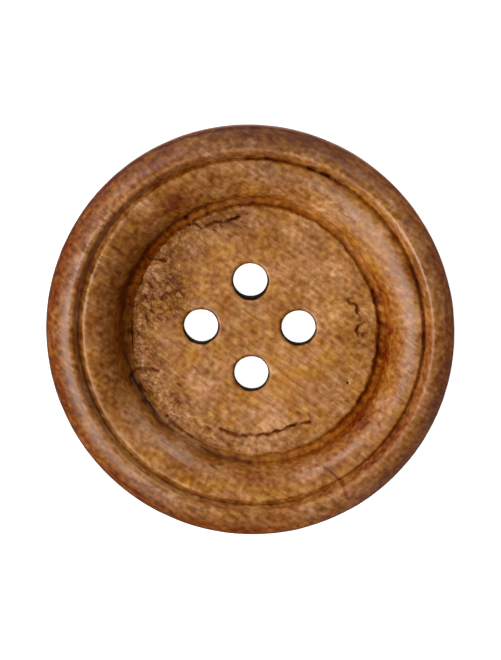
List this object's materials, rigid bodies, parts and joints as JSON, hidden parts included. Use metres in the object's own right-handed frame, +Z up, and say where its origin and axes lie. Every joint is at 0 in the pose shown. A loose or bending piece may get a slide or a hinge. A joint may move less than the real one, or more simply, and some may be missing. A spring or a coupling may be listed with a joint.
{
  "type": "sew-on button",
  "caption": "Round turned wooden sew-on button with a raised bead rim, a fine V groove, a roll falling to a sunk flat floor, and thread holes through the floor.",
  "frame": {"origin": "middle of the flat back, on the axis of the disc", "axes": "+Z up through the face, along the turning axis; X runs through the wider spaced pair of thread holes and Y through the other pair"},
  "size_m": [0.03, 0.03, 0.005],
  "materials": {
    "stained_wood": "stained brown and waxed, satin, with open grain and fine cracks"
  },
  "bodies": {
    "root": {"turned_wood_button": "stained_wood"}
  },
  "joints": []
}
